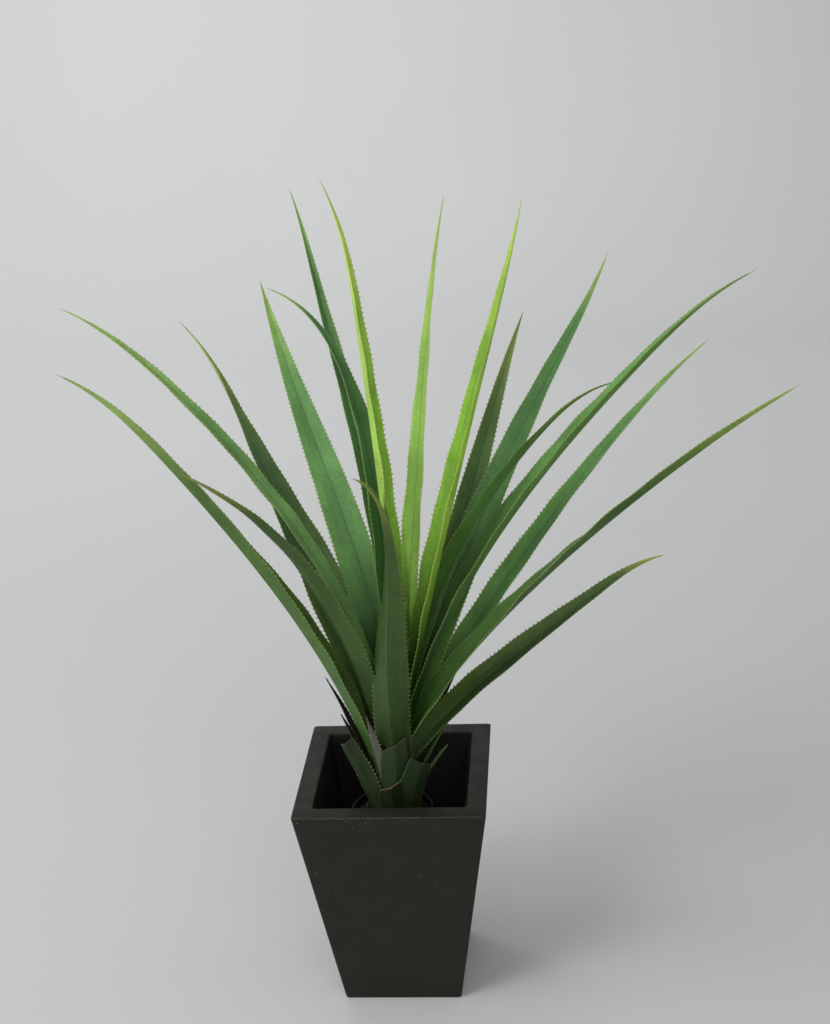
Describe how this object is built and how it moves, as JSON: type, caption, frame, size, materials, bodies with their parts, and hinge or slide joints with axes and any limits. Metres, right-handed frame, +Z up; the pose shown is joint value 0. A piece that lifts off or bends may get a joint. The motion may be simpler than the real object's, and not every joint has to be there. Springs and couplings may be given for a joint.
{
  "type": "potted agave",
  "caption": "Long-leaved agave with folded, finely toothed blades, set in a round grower's pot that stands inside a tall tapered square planter.",
  "frame": {"origin": "centre of the planter's flat underside, where it rests on the floor", "axes": "+Z up, +X to the viewer's right, the planter's front face looks along -Y"},
  "size_m": [0.8515, 0.4786, 1.0513],
  "materials": {
    "planter": "matte dark charcoal, finely textured",
    "riser_block": "plain light grey block",
    "grower_pot": "thin dark purplish grey plastic",
    "soil": "dark peaty potting mix",
    "stem": "dull green, rough",
    "leaf_01": "soft satin green, small teeth on the edges",
    "leaf_02": "soft satin green, small teeth on the edges",
    "leaf_03": "soft satin green, small teeth on the edges",
    "leaf_04": "soft satin green, small teeth on the edges",
    "leaf_05": "soft satin green, small teeth on the edges",
    "leaf_06": "soft satin green, small teeth on the edges",
    "leaf_07": "soft satin green, small teeth on the edges",
    "leaf_08": "soft satin green, small teeth on the edges",
    "leaf_09": "soft satin green, small teeth on the edges",
    "leaf_10": "soft satin green, small teeth on the edges",
    "leaf_11": "soft satin green, small teeth on the edges",
    "leaf_12": "soft satin green, small teeth on the edges",
    "leaf_13": "soft satin green, small teeth on the edges",
    "leaf_14": "soft satin green, small teeth on the edges",
    "leaf_15": "soft satin green, small teeth on the edges",
    "leaf_16": "soft satin green, small teeth on the edges",
    "leaf_17": "soft satin green, small teeth on the edges",
    "leaf_18": "soft satin green, small teeth on the edges",
    "stub_01": "dull dark green, cut or pointed end",
    "stub_02": "dull dark green, cut or pointed end",
    "stub_03": "dull dark green, cut or pointed end",
    "stub_04": "dull dark green, cut or pointed end",
    "stub_05": "dull dark green, cut or pointed end",
    "stub_06": "dull dark green, cut or pointed end",
    "stub_07": "dull dark green, cut or pointed end",
    "stub_08": "dull dark green, cut or pointed end",
    "stub_09": "dull dark green, cut or pointed end",
    "stub_10": "dull dark green, cut or pointed end",
    "stub_11": "dull dark green, cut or pointed end",
    "stub_12": "dull dark green, cut or pointed end",
    "stub_13": "dull dark green, cut or pointed end",
    "stub_14": "dull dark green, cut or pointed end"
  },
  "bodies": {
    "root": {"planter": "planter", "riser_block": "riser_block", "grower_pot": "grower_pot", "soil": "soil", "stem": "stem", "leaf_01": "leaf_01", "leaf_02": "leaf_02", "leaf_03": "leaf_03", "leaf_04": "leaf_04", "leaf_05": "leaf_05", "leaf_06": "leaf_06", "leaf_07": "leaf_07", "leaf_08": "leaf_08", "leaf_09": "leaf_09", "leaf_10": "leaf_10", "leaf_11": "leaf_11", "leaf_12": "leaf_12", "leaf_13": "leaf_13", "leaf_14": "leaf_14", "leaf_15": "leaf_15", "leaf_16": "leaf_16", "leaf_17": "leaf_17", "leaf_18": "leaf_18", "stub_01": "stub_01", "stub_02": "stub_02", "stub_03": "stub_03", "stub_04": "stub_04", "stub_05": "stub_05", "stub_06": "stub_06", "stub_07": "stub_07", "stub_08": "stub_08", "stub_09": "stub_09", "stub_10": "stub_10", "stub_11": "stub_11", "stub_12": "stub_12", "stub_13": "stub_13", "stub_14": "stub_14"}
  },
  "joints": []
}
